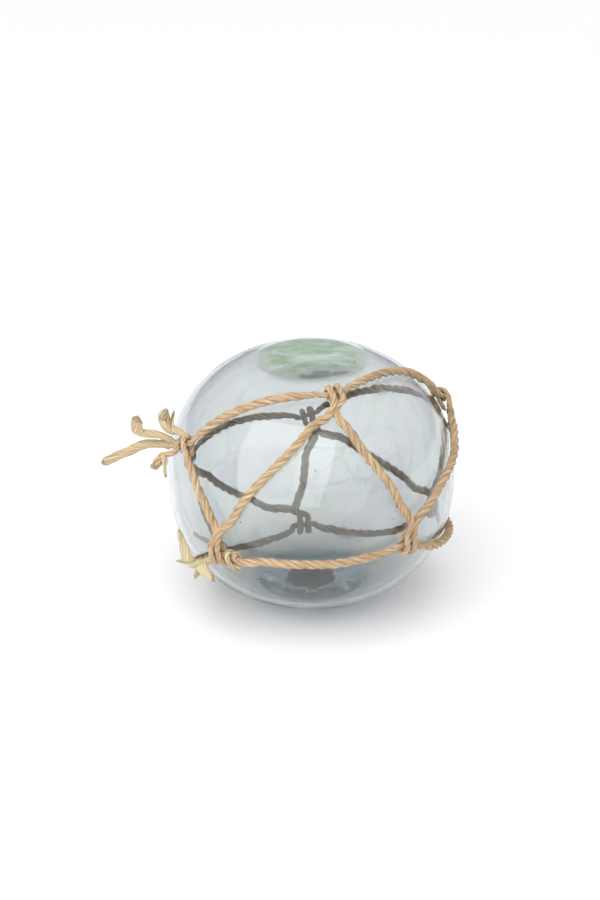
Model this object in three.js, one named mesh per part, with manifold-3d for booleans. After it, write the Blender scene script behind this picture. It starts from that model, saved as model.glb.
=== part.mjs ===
// Glass float ball: a blown glass fishing float, slightly flattened, held in a net of jute rope.
// The net is three ropes: an upper ring and a lower ring round the ball, and one lacing rope that
// zigzags between them and is hitched to a ring at each turn.
//
// Millimetres, +Z up, -Y is the front. The origin is the middle of the small flat the ball rests on.

import * as THREE from 'three';
import { mergeVertices } from 'three/addons/utils/BufferGeometryUtils.js';
import Module from 'manifold-3d';

// ---------------------------------------------------------------- driving dimensions

// Glass ball: a superellipsoid of revolution about the upright axis.
const GLASS_RADIUS = 125;
const GLASS_HALF_HEIGHT = 113;
const GLASS_FULLNESS = 2.25; // exponent of the outline: 2 is an ellipse, more is fuller
const FLAT_RADIUS = 24; // resting flat under the ball
const SEAL_RADIUS = 50; // button of melted glass that closes the blowing hole, on top
const SEAL_HEIGHT = 1.8;
const SEAL_EDGE = 6; // exponent of the button's profile: more is flatter with a steeper rim
const GLASS_SIDES = 44;
const GLASS_ROWS = 18; // from the flat to the button's rim
const SEAL_ROWS = [1, 0.93, 0.8, 0.5, 0]; // places on the button, as parts of its radius

// Rope.
const ROPE_RADIUS = 3.85;
const ROPE_SIDES = 8;
const ROPE_GAP = 0.8; // from rope to rope and from rope to glass, before the knots are pulled tight
const LAY = 2 * ROPE_RADIUS + ROPE_GAP; // from rope to rope where they lie side by side
const ON_GLASS = ROPE_RADIUS + ROPE_GAP; // height of a rope's middle that lies on the glass
const ON_ROPE = ON_GLASS + LAY; // height of the middle of a rope that lies across another
const ROPE_STEP = 17; // longest step along a free stretch

// Net: its axis leans from upright, and the knots are placed by their turn round the axis from the
// front and their rise above the net's middle, in degrees. Each span is [bow, skew]: how far the
// rope strays from the shortest way to the next knot, in degrees at mid-span and at its quarters.
const NET_LEAN_BACK = 23;
const NET_LEAN_LEFT = 9;
const UPPER_RING = [
  { turn: -52.8, rise: 18.1, span: [2, 0] }, // left: the upper ring is closed here
  { turn: 15.8, rise: 31, span: [6.4, -1.2] }, // front
  { turn: 87, rise: 21, span: [-0.2, -1.7] }, // right
  { turn: 177.7, rise: 22.8, span: [3.2, -0.2] }, // back
  { turn: 242, rise: 15, span: [1, 0] }, // back left
];
const LOWER_RING = [
  { turn: -45.2, rise: -24, span: [1.9, 0.6] }, // front left: the lower ring is closed here
  { turn: 38.9, rise: -31.8, span: [0.4, -0.9] }, // front right
  { turn: 117, rise: -24, span: [-4.4, -0.5] }, // back right
  { turn: 187.2, rise: -24.2, span: [-0.4, -0.4] }, // back
  { turn: 237, rise: -29, span: [4, 0] }, // back left
];

// The lacing's spans: it starts at the first upper knot, goes to the first lower knot, to the second
// upper knot and so on, and ends at the last lower one.
const LACING = [
  [4.1, -1.2], [-1, 2.3], [-2.4, -2.8], [0.3, 3.2], [2, 0], [-2.5, 0.8], [0.7, -1], [0, 1.2], [4, 0],
];

// Hitches (cow hitches), in parts of LAY.
const TURN_APART = 0.55; // from the middle of a knot to each of its two turns, along the ring
const COLLAR_START = 0.95; // where the bend under the two legs starts, towards the other ring
const LEG_CLEAR = 1.5; // where the legs have passed over that bend
const LEG_LIFT = 0.29; // and how far above the ring's middle they are there
const LEG_DOWN = 4.2; // where the legs are down on the glass
const NECK_PART = 0.68; // the legs run side by side until this part of the way there
const NECK_APART = 0.3; // from the middle between them to each leg
const NECK_LIFT = 0.4; // and how far above the glass they part
const RING_FLAT = 0.7; // the ring keeps its full height this far from a knot's middle
const RING_DOWN = 2.5; // and is down on the glass this much further
const RING_STRAIGHT = 1.3; // the ring runs straight this far from a knot's middle
const RING_NEAR = [0, 0.6, 1.25, 2.1, 3.2]; // stations of the ring near a knot

// The lower ring's end is wound once round the ring beside its first knot, in parts of LAY.
const WINDING = { start: 1.6, advance: 0.5, stations: 8 };

// Loose ends: [along, across, height] in mm at their knot, as Knot.point takes them.
const UPPER_ENDS = [
  // the long end
  [[-9.5, 0, 12.5], [-13.5, -3, 20], [-19, -4.5, 23.5], [-24.5, -6, 24.5], [-28.5, -6.5, 27],
    [-33, -6.5, 29], [-39, -5.5, 33], [-44.5, -4, 37.5], [-50, -3, 43], [-54.5, -1, 49], [-58.5, 0.5, 54.5]],
  // the end that curls up
  [[-11, -2, 12], [-13, -6.5, 21], [-14, -10, 28.5], [-17, -12, 33], [-20.5, -12, 35.5],
    [-23.5, -12, 38], [-24.5, -12.5, 41.5], [-22.5, -15.5, 44.5], [-19.5, -19, 46]],
];
const LOWER_ENDS = [
  // the end that turns up
  [[-11, -3, 12], [-13.5, -5.5, 15], [-17.5, -5, 20.5], [-21, -2.5, 25], [-24, 2, 26.5],
    [-24.5, 8, 25.5], [-23.5, 15, 23.5], [-22.5, 21, 22], [-21, 27, 21.5]],
  // a strand parted from it
  [[-19, -4.5, 26], [-14, -10, 28.5], [-10, -14.5, 29], [-7, -18.5, 28]],
];
const LACING_START = [[-21, 13.5, 27.5], [-17.5, 10, 30.5], [-12.5, 9, 31], [-8.5, 9.5, 28], [-4.7, 6, 24]];
const LACING_STUB = [
  [4.7, -8, 14], [3, -12, 22.5], [-3, -15.5, 26], [-9.5, -17, 26], [-12, -20, 26], [-11, -23.5, 27],
];
const LACING_END = [[6, 21, 21], [8, 27, 26]];

// Pulling the knots tight flattens them towards the glass and makes them shorter along the ring and
// across it.
const PRESS_CORE = 12; // fully pressed within this distance of a knot's middle
const PRESS_REACH = 36; // and not at all beyond this
const PRESS_HEIGHT = 0.48;
const PRESS_ALONG = 0.2;
const PRESS_ACROSS = 0.3;
const KNOT_TOP = ON_ROPE + LAY + ROPE_RADIUS; // loose ends above this are moved, not flattened

const { clamp, degToRad, smoothstep } = THREE.MathUtils;
const CENTRE = new THREE.Vector3(0, 0, outlineHeight(FLAT_RADIUS));
const NET_LEAN = new THREE.Matrix4()
  .makeRotationX(degToRad(-NET_LEAN_BACK))
  .multiply(new THREE.Matrix4().makeRotationY(degToRad(-NET_LEAN_LEFT)));
const NET_UP = new THREE.Vector3(0, 0, 1).applyMatrix4(NET_LEAN);

const wasm = await Module();
wasm.setup();

// ---------------------------------------------------------------- glass

// Height of the ball's outline above its middle, at a distance from the axis.
function outlineHeight(radius) {
  const part = 1 - (radius / GLASS_RADIUS) ** GLASS_FULLNESS;
  return GLASS_HALF_HEIGHT * part ** (1 / GLASS_FULLNESS);
}

// Distance from the ball's middle to its outside, in a direction.
function glassRadius(direction) {
  const across = Math.hypot(direction.x, direction.y) / GLASS_RADIUS;
  const up = Math.abs(direction.z) / GLASS_HALF_HEIGHT;
  return (across ** GLASS_FULLNESS + up ** GLASS_FULLNESS) ** (-1 / GLASS_FULLNESS);
}

function outlinePoint(elevation) {
  const direction = new THREE.Vector3(Math.cos(elevation), 0, Math.sin(elevation));
  const radius = glassRadius(direction);
  return new THREE.Vector2(radius * direction.x, CENTRE.z + radius * direction.z);
}

function glassProfile() {
  const low = Math.atan2(-CENTRE.z, FLAT_RADIUS);
  const high = Math.atan2(outlineHeight(SEAL_RADIUS), SEAL_RADIUS);
  const profile = [new THREE.Vector2(0, 0)];
  for (let row = 0; row < GLASS_ROWS; row += 1) {
    profile.push(outlinePoint(low + ((high - low) * row) / GLASS_ROWS));
  }
  for (const part of SEAL_ROWS) {
    const radius = part * SEAL_RADIUS;
    const button = SEAL_HEIGHT * (1 - part ** SEAL_EDGE);
    profile.push(new THREE.Vector2(radius, CENTRE.z + outlineHeight(radius) + button));
  }
  return profile;
}

function glassFloat() {
  return new THREE.LatheGeometry(glassProfile(), GLASS_SIDES).rotateX(Math.PI / 2);
}

// ---------------------------------------------------------------- where the ropes run

// Direction from the ball's middle to a place on the net.
function netDirection({ turn, rise }) {
  const [round, up] = [degToRad(turn), degToRad(rise)];
  return new THREE.Vector3(
    Math.cos(up) * Math.sin(round),
    -Math.cos(up) * Math.cos(round),
    Math.sin(up),
  ).applyMatrix4(NET_LEAN);
}

function aboveGlass(direction, height) {
  return direction.clone().multiplyScalar(glassRadius(direction) + height).add(CENTRE);
}

// One stretch of rope between two knots, as directions from the ball's middle.
class Span {
  constructor(from, to, [bow, skew]) {
    this.from = netDirection(from);
    this.to = netDirection(to);
    this.angle = this.from.angleTo(this.to);
    this.side = new THREE.Vector3().crossVectors(this.from, this.to).normalize();
    if (this.side.dot(NET_UP) < 0) this.side.negate();
    this.bow = degToRad(bow);
    this.skew = degToRad(skew);
    this.length = this.angle * GLASS_RADIUS;
  }

  at(part) {
    const stray = this.bow * Math.sin(Math.PI * part) + this.skew * Math.sin(2 * Math.PI * part);
    return this.from
      .clone()
      .multiplyScalar(Math.sin((1 - part) * this.angle))
      .addScaledVector(this.to, Math.sin(part * this.angle))
      .normalize()
      .multiplyScalar(Math.cos(stray))
      .addScaledVector(this.side, Math.sin(stray));
  }

  // Even steps from one distance after the first knot to the same distance before the second.
  between(clear) {
    const free = this.length - 2 * clear;
    const steps = Math.ceil(free / ROPE_STEP);
    return Array.from({ length: steps + 1 }, (_, i) => (clear + (free * i) / steps) / this.length);
  }
}

// A knot's own axes: out from the ball, along its ring, and across towards the other ring.
class Knot {
  constructor(before, after, otherRing) {
    const beside = 0.1; // part of a span at which the ring's direction is taken
    this.out = after.at(0);
    this.along = after.at(beside).sub(before.at(1 - beside)).projectOnPlane(this.out).normalize();
    this.across = new THREE.Vector3().crossVectors(this.out, this.along);
    this.across.multiplyScalar(otherRing);
    this.radius = glassRadius(this.out) + ROPE_RADIUS;
  }

  // A point by its distance along and across the ring and its height above the glass.
  point([along, across, height]) {
    const direction = this.out
      .clone()
      .addScaledVector(this.along, along / this.radius)
      .addScaledVector(this.across, across / this.radius)
      .normalize();
    return aboveGlass(direction, height);
  }

  // The same three numbers for a point.
  measure(point) {
    const arm = point.clone().sub(CENTRE);
    const direction = arm.clone().normalize();
    const reach = this.radius / direction.dot(this.out);
    return [
      direction.dot(this.along) * reach,
      direction.dot(this.across) * reach,
      arm.length() - glassRadius(direction),
    ];
  }
}

function ringSpans(ring) {
  return ring.map((knot, i) => new Span(knot, ring[(i + 1) % ring.length], knot.span));
}

function ringKnots(spans, otherRing) {
  return spans.map((span, i) => new Knot(spans.at(i - 1), span, otherRing));
}

const upperSpans = ringSpans(UPPER_RING);
const lowerSpans = ringSpans(LOWER_RING);
const upperKnots = ringKnots(upperSpans, -1);
const lowerKnots = ringKnots(lowerSpans, 1);
const allKnots = [...upperKnots, ...lowerKnots];

// The ring rises over the turns of the lacing that pass under it. extra is how much further than
// usual it stays up.
function ringHeight(distance, extra) {
  const down = clamp((distance / LAY - RING_FLAT - extra) / RING_DOWN, 0, 1);
  return ON_GLASS + (LAY * (1 + Math.cos(Math.PI * down))) / 2;
}

// A ring's rope, at a distance after its knot i, or before it where the distance is negative.
function onRing({ spans, knots, extra }, i, distance) {
  const span = distance < 0 ? spans.at(i - 1) : spans[i];
  const part = distance < 0 ? 1 + distance / span.length : distance / span.length;
  const height = ringHeight(Math.abs(distance), i === 0 && distance > 0 ? extra : 0);
  if (Math.abs(distance) < RING_STRAIGHT * LAY) return knots[i].point([distance, 0, height]);
  return aboveGlass(span.at(part), height);
}

function ringRoute(ring) {
  return ring.spans.flatMap((span, i) => {
    const wound = i === 0 ? ring.extra : 0;
    const after = [...RING_NEAR, ...(wound ? [RING_NEAR.at(-1) + wound] : [])];
    const free = span.between(after.at(-1) * LAY).slice(1, -1);
    return [
      ...after.map((part) => onRing(ring, i, part * LAY)),
      ...free.map((part) => aboveGlass(span.at(part), ON_GLASS)),
      ...RING_NEAR.slice(1).reverse().map((part) => (
        onRing(ring, (i + 1) % ring.spans.length, -part * LAY))),
    ];
  });
}

// The two turns of a hitch, from the leg that comes in to the leg that goes out: over the front of
// the ring, round behind it, and a bend on the glass under the legs.
function halfHitch(side) {
  const along = side * TURN_APART * LAY;
  const [over, behind, steps] = [60, 270, 5]; // degrees round the ring
  const turn = Array.from({ length: steps + 1 }, (_, i) => {
    const angle = degToRad(over + ((behind - over) * i) / steps);
    return [along, LAY * Math.cos(angle), ON_ROPE + LAY * Math.sin(angle)];
  });
  return [[along, LEG_CLEAR * LAY, ON_ROPE + LEG_LIFT * LAY], ...turn];
}

function hitch(knot) {
  const radius = TURN_APART * LAY;
  const collar = [180, 135, 90, 45, 0].map((degrees) => {
    const angle = degToRad(degrees);
    return [radius * Math.cos(angle), COLLAR_START * LAY + radius * Math.sin(angle), ON_GLASS];
  });
  const turns = [...halfHitch(-1), ...collar, ...halfHitch(1).reverse()];
  return turns.map((place) => knot.point(place));
}

// The point where a leg parts from the other one. legs are the points where they are on the glass.
function neck(knot, side, legs) {
  const middle = legs.reduce((sum, leg) => sum.add(leg), new THREE.Vector3());
  const [along, across] = knot.measure(middle.divideScalar(legs.length));
  return knot.point([
    NECK_PART * along + side * NECK_APART * LAY,
    NECK_PART * across,
    ON_GLASS + NECK_LIFT * LAY,
  ]);
}

function lacingRoute() {
  const places = UPPER_RING.flatMap((place, i) => [place, LOWER_RING[i]]);
  const knots = upperKnots.flatMap((knot, i) => [knot, lowerKnots[i]]);
  const stretches = LACING.map((sag, i) => {
    const span = new Span(places[i], places[i + 1], sag);
    return span.between(LEG_DOWN * LAY).map((part) => aboveGlass(span.at(part), ON_GLASS));
  });
  const route = LACING_START.map((place) => knots[0].point(place));
  knots.forEach((knot, i) => {
    const [before, after] = [stretches[i - 1], stretches[i]];
    const legs = [before?.at(-1), after?.[0]].filter(Boolean);
    if (before) route.push(...before, neck(knot, -1, legs));
    const legless = before ? 0 : 2; // no leg comes up to the hitch at the lacing's own start
    route.push(...hitch(knot).slice(legless));
    if (after) route.push(neck(knot, 1, legs));
  });
  return [...route, ...LACING_END.map((place) => knots.at(-1).point(place))];
}

// The end of a ring, wound once round the ring after its first knot. Both ends run into the ring.
function windingRoute(ring) {
  const knot = ring.knots[0];
  const { start, advance, stations } = WINDING;
  return Array.from({ length: stations + 5 }, (_, i) => {
    const step = i - 2;
    const angle = degToRad(-90) + (2 * Math.PI * step) / stations;
    const inward = Math.max(0, -step, step - stations); // steps past the winding's own ends
    const radius = LAY * [1, 0.75, 0.2][inward];
    const distance = (start + (advance * clamp(step, 0, stations)) / stations) * LAY;
    return onRing(ring, 0, distance)
      .addScaledVector(knot.across, radius * Math.cos(angle))
      .addScaledVector(knot.out, radius * Math.sin(angle));
  });
}

// ---------------------------------------------------------------- ropes

// A curve whose even parameters are its own points, however far apart they lie.
class Route extends THREE.CatmullRomCurve3 {
  getUtoTmapping(part) {
    return part;
  }
}

// A loop of rope has no ends to close.
function ropeLoop(points) {
  return new THREE.TubeGeometry(
    new Route(points, true), points.length, ROPE_RADIUS, ROPE_SIDES, true);
}

function ropeLength(points) {
  const section = new THREE.Shape().absarc(0, 0, ROPE_RADIUS, 0, 2 * Math.PI);
  return new THREE.ExtrudeGeometry(section, {
    curveSegments: ROPE_SIDES / 2,
    steps: points.length - 1,
    extrudePath: new Route(points),
  });
}

// Pulls every point of a rope near a knot closer to the glass and to the ring.
function pullTight(geometry) {
  const place = geometry.getAttribute('position');
  const point = new THREE.Vector3();
  for (let i = 0; i < place.count; i += 1) {
    point.fromBufferAttribute(place, i);
    for (const knot of allKnots) {
      if (point.clone().sub(CENTRE).angleTo(knot.out) > PRESS_REACH / GLASS_HALF_HEIGHT) continue;
      const [along, across, height] = knot.measure(point);
      const press = 1 - smoothstep(Math.hypot(along, across), PRESS_CORE, PRESS_REACH);
      const lower = PRESS_HEIGHT * press * Math.min(height, KNOT_TOP);
      point.copy(knot.point([
        along * (1 - PRESS_ALONG * press),
        across * (1 - PRESS_ACROSS * press),
        height - lower,
      ]));
    }
    place.setXYZ(i, point.x, point.y, point.z);
  }
  return geometry;
}

function solid(geometry) {
  geometry.deleteAttribute('normal');
  geometry.deleteAttribute('uv');
  const merged = mergeVertices(geometry);
  return new wasm.Manifold(new wasm.Mesh({
    numProp: 3,
    vertProperties: merged.getAttribute('position').array,
    triVerts: new Uint32Array(merged.index.array),
  }));
}

// Joins a rope's stretches into one geometry.
function fused(geometries) {
  const whole = geometries.map((each) => solid(pullTight(each))).reduce((a, b) => a.add(b));
  const { vertProperties, triVerts } = whole.getMesh();
  const geometry = new THREE.BufferGeometry();
  geometry.setAttribute('position', new THREE.BufferAttribute(vertProperties, 3));
  geometry.setIndex(new THREE.BufferAttribute(triVerts, 1));
  return geometry;
}

function looseEnd(knot, places) {
  return ropeLength(places.map((place) => knot.point(place)));
}

function upperRing() {
  const ring = { spans: upperSpans, knots: upperKnots, extra: 0 };
  const ends = UPPER_ENDS.map((places) => looseEnd(upperKnots[0], places));
  return fused([ropeLoop(ringRoute(ring)), ...ends]);
}

function lowerRing() {
  const extra = WINDING.start + WINDING.advance - RING_FLAT;
  const ring = { spans: lowerSpans, knots: lowerKnots, extra };
  const ends = LOWER_ENDS.map((places) => looseEnd(lowerKnots[0], places));
  return fused([ropeLoop(ringRoute(ring)), ropeLength(windingRoute(ring)), ...ends]);
}

function lacing() {
  return fused([ropeLength(lacingRoute()), looseEnd(upperKnots[0], LACING_STUB)]);
}

// ---------------------------------------------------------------- the float

const GLASS_LOOK = { color: 0xc3cdc8, roughness: 0.06, transparent: true, opacity: 0.4 };
const JUTE_LOOK = { color: 0xa8845a, roughness: 0.9 };

function part(name, geometry, look) {
  const material = new THREE.MeshStandardMaterial({ metalness: 0, ...look });
  const mesh = new THREE.Mesh(geometry, material);
  mesh.name = name;
  return mesh;
}

const float = new THREE.Group();
float.add(
  part('glass_float', glassFloat(), GLASS_LOOK),
  part('upper_ring_cord', upperRing(), JUTE_LOOK),
  part('lower_ring_cord', lowerRing(), JUTE_LOOK),
  part('lacing_cord', lacing(), JUTE_LOOK),
);

export default float;
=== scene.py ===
import math
import random

import bmesh
import bpy
import numpy as np
from bpy.props import FloatProperty, FloatVectorProperty, IntProperty, PointerProperty
from mathutils import Matrix, Vector, noise


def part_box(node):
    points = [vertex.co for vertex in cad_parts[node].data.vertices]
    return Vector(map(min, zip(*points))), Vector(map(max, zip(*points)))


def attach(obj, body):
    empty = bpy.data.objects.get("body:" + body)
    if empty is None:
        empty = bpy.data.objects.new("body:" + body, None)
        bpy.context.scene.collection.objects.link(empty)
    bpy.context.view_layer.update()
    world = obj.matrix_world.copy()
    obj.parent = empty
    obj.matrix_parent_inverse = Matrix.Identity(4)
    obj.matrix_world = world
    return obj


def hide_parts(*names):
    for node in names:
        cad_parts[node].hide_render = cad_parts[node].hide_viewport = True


# Glass float ball: a slightly flattened, blown glass fishing float held in a net of jute rope.
# Metres, +Z up, -Y is the front. The origin is the middle of the small flat the ball rests on.

bl_info = {
    "name": "Glass float ball",
    "version": (1, 0, 0),
    "blender": (4, 5, 0),
    "location": "View3D > Sidebar > Float",
    "description": "Blown glass float with a sealed cavity, its jute rope net and a pale stage",
    "category": "Object",
}

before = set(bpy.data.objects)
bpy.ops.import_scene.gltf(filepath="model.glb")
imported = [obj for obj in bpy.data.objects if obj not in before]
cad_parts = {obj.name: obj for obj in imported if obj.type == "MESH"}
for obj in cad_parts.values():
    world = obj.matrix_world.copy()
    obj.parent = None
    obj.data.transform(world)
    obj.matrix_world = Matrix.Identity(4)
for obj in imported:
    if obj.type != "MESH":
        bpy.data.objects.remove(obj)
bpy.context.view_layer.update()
GLASS_LOW, GLASS_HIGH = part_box("glass_float")
ROOT = "root"
MM = 0.001

# ---------------------------------------------------------------- the net, as its solids lie

NET_LEAN_BACK = 23
NET_LEAN_LEFT = 9
# Knots by turn round the net's axis and rise above its middle, in degrees, then the [bow, skew]
# of the span to the next knot.
UPPER_RING = [
    (-52.8, 18.1, (2, 0)),
    (15.8, 31, (6.4, -1.2)),
    (87, 21, (-0.2, -1.7)),
    (177.7, 22.8, (3.2, -0.2)),
    (242, 15, (1, 0)),
]
LOWER_RING = [
    (-45.2, -24, (1.9, 0.6)),
    (38.9, -31.8, (0.4, -0.9)),
    (117, -24, (-4.4, -0.5)),
    (187.2, -24.2, (-0.4, -0.4)),
    (237, -29, (4, 0)),
]
# The lacing's spans, from the first upper knot to the first lower one, the second upper one, on.
LACING = [(4.1, -1.2), (-1, 2.3), (-2.4, -2.8), (0.3, 3.2), (2, 0), (-2.5, 0.8), (0.7, -1),
          (0, 1.2), (4, 0)]

# Hitches, in parts of the distance from rope to rope.
TURN_APART = 0.55
COLLAR_START = 0.95
LEG_CLEAR = 1.5
LEG_LIFT = 0.29
LEG_DOWN = 4.2
NECK_PART = 0.68
NECK_APART = 0.3
NECK_LIFT = 0.4
RING_FLAT = 0.7
RING_DOWN = 2.5
RING_STRAIGHT = 1.3
RING_NEAR = (0, 0.6, 1.25, 2.1, 3.2)
WINDING_START = 1.6
WINDING_ADVANCE = 0.5
WINDING_STATIONS = 8
ROPE_STEP = 17 * MM

# Loose ends: along, across and height in mm at their knot.
LONG_END = [
    (-9.5, 0, 12.5), (-13.5, -3, 20), (-19, -4.5, 23.5), (-24.5, -6, 24.5), (-28.5, -6.5, 27),
    (-33, -6.5, 29), (-39, -5.5, 33), (-44.5, -4, 37.5), (-50, -3, 43), (-54.5, -1, 49),
    (-58.5, 0.5, 54.5)]
CURLED_END = [
    (-11, -2, 12), (-13, -6.5, 21), (-14, -10, 28.5), (-17, -12, 33), (-20.5, -12, 35.5),
    (-23.5, -12, 38), (-24.5, -12.5, 41.5), (-22.5, -15.5, 44.5), (-19.5, -19, 46)]
LOWER_END = [
    (-11, -3, 12), (-13.5, -5.5, 15), (-17.5, -5, 20.5), (-21, -2.5, 25), (-24, 2, 26.5),
    (-24.5, 8, 25.5), (-23.5, 15, 23.5), (-22.5, 21, 22), (-21, 27, 21.5)]
LOWER_SPUR = [(-19, -4.5, 26), (-14, -10, 28.5), (-10, -14.5, 29), (-7, -18.5, 28)]
LACING_START = [
    (-21, 13.5, 27.5), (-17.5, 10, 30.5), (-12.5, 9, 31), (-8.5, 9.5, 28), (-4.7, 6, 24)]
LACING_STUB = [
    (4.7, -8, 14), (3, -12, 22.5), (-3, -15.5, 26), (-9.5, -17, 26), (-12, -20, 26),
    (-11, -23.5, 27)]
LACING_END = [(6, 21, 21), (8, 27, 26)]
# Parted strands, and the tips that ragged fibres reach for.
UPPER_WISP = [(-4.7, -12, 28.4), (-1.3, -19.4, 29.4), (6.1, -25.1, 29.5)]
UPPER_TIP = (-5.4, -27.7, 27.2)
START_WISP = [(-11.2, 8.7, 34.1), (-15, 17.1, 25.5), (-18.8, 23.6, 17.5)]
START_TIP = (-22, 16.4, 25.5)
LOWER_BLOB = ((-22.2, 2.7, 26.9), (-28.3, 5.1, 30.2))
LOWER_WISP = ((-18, -6.7, 26.8), (-20.6, -12.2, 30))

# Knots pulled tight.
PRESS_CORE = 12 * MM
PRESS_REACH = 36 * MM
PRESS_HEIGHT = 0.48
PRESS_ALONG = 0.2
PRESS_ACROSS = 0.3

# Strands, opened yarns and the single fibres that stand off a rope. The fibres are in mm.
STRAND_LUMPS = 0.07
LUMP_SCALE = 160
STRAND_TWIST = -120.0
YARN_WANDER = 0.14
WANDER_SCALE = 90
YARN_TWIST = -60.0
CORE_THICK = 1.25
FUZZ_LENGTH = (3, 9)
FUZZ_RADIUS = (0.05, 0.1)
FUZZ_LIFT = (0.1, 0.55)
FUZZ_SWEEP = 0.6
FUZZ_ROOT = 0.86

# Bubbles in the wall, in mm, and how rough dirt and the base make the glass.
SEED_RADII = (0.25, 0.3, 0.35, 0.45, 0.6)
SEED_STRETCH = (1, 2.2)
GRIME_ROUGH = 0.16
BASE_ROUGH = 0.08

# Where the lamps stand, by turn, rise and distance from the ball's middle, and the camera's own
# sizes: its sensor in mm and how far it sees.
LAMP_TURN = -24
LAMP_RISE = 30
LAMP_FAR = 0.9
LAMP_SIZE = (1.25, 1.5)
SENSOR_WIDTH = 36
VIEW_FAR = 50


def unit(v):
    return v / np.linalg.norm(v, axis=-1, keepdims=True)


def smoothstep(x, low, high):
    t = np.clip((x - low) / (high - low), 0, 1)
    return t * t * (3 - 2 * t)


def net_lean():
    return np.array(
        Matrix.Rotation(math.radians(-NET_LEAN_BACK), 3, "X")
        @ Matrix.Rotation(math.radians(-NET_LEAN_LEFT), 3, "Y")
    )


class Ball:
    """The ball's outside, and the heights at which ropes lie on it."""

    def __init__(self, glass, rope):
        self.radius = glass.radius
        self.half_height = glass.half_height
        self.fullness = glass.fullness
        self.centre = np.array([0, 0, self.outline(glass.flat_radius)])
        self.rope = rope.radius
        self.lay = 2 * rope.radius + rope.gap
        self.on_glass = rope.radius + rope.gap
        self.on_rope = self.on_glass + self.lay

    def outline(self, radius):
        """Height of the outline above the ball's middle, at a distance from the axis."""
        part = 1 - (radius / self.radius) ** self.fullness
        return self.half_height * part ** (1 / self.fullness)

    def reach(self, direction):
        """Distance from the ball's middle to its outside."""
        across = np.hypot(direction[..., 0], direction[..., 1]) / self.radius
        up = np.abs(direction[..., 2]) / self.half_height
        return (across**self.fullness + up**self.fullness) ** (-1 / self.fullness)

    def above(self, direction, height):
        reach = self.reach(direction) + height
        return self.centre + direction * reach[..., None]


class Span:
    """One stretch of rope between two knots, as directions from the ball's middle."""

    def __init__(self, ball, start, end, bow_skew):
        lean = net_lean()
        self.start, self.end = (lean @ self.direction(knot) for knot in (start, end))
        self.angle = math.acos(float(self.start @ self.end))
        self.side = unit(np.cross(self.start, self.end))
        if self.side @ lean[:, 2] < 0:
            self.side = -self.side
        self.bow, self.skew = (math.radians(a) for a in bow_skew)
        self.length = self.angle * ball.radius

    @staticmethod
    def direction(knot):
        turn, rise = math.radians(knot[0]), math.radians(knot[1])
        return np.array([
            math.cos(rise) * math.sin(turn), -math.cos(rise) * math.cos(turn), math.sin(rise)])

    def at(self, part):
        part = np.asarray(part, float)[..., None]
        stray = self.bow * np.sin(np.pi * part) + self.skew * np.sin(2 * np.pi * part)
        straight = unit(
            self.start * np.sin((1 - part) * self.angle) + self.end * np.sin(part * self.angle))
        return straight * np.cos(stray) + self.side * np.sin(stray)

    def between(self, clear):
        """Even steps from one distance after the first knot to the same before the second."""
        free = self.length - 2 * clear
        steps = math.ceil(free / ROPE_STEP)
        return (clear + free * np.arange(steps + 1) / steps) / self.length


class Knot:
    """A knot's own axes: out from the ball, along its ring, and across towards the other ring."""

    def __init__(self, ball, before, after, other_ring):
        beside = 0.1
        self.ball = ball
        self.out = after.at(0)
        along = after.at(beside) - before.at(1 - beside)
        self.along = unit(along - self.out * (along @ self.out))
        self.across = np.cross(self.out, self.along) * other_ring
        self.radius = float(ball.reach(self.out)) + ball.rope

    def point(self, places):
        """Points by their distance along and across the ring and their height above the glass."""
        places = np.asarray(places, float)
        direction = unit(
            self.out
            + self.along * places[..., :1] / self.radius
            + self.across * places[..., 1:2] / self.radius
        )
        return self.ball.above(direction, places[..., 2])

    def measure(self, points):
        """The same three numbers for points."""
        arm = points - self.ball.centre
        direction = unit(arm)
        reach = self.radius / (direction @ self.out)
        height = np.linalg.norm(arm, axis=-1) - self.ball.reach(direction)
        return np.stack(
            [direction @ self.along * reach, direction @ self.across * reach, height], axis=-1)


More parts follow.
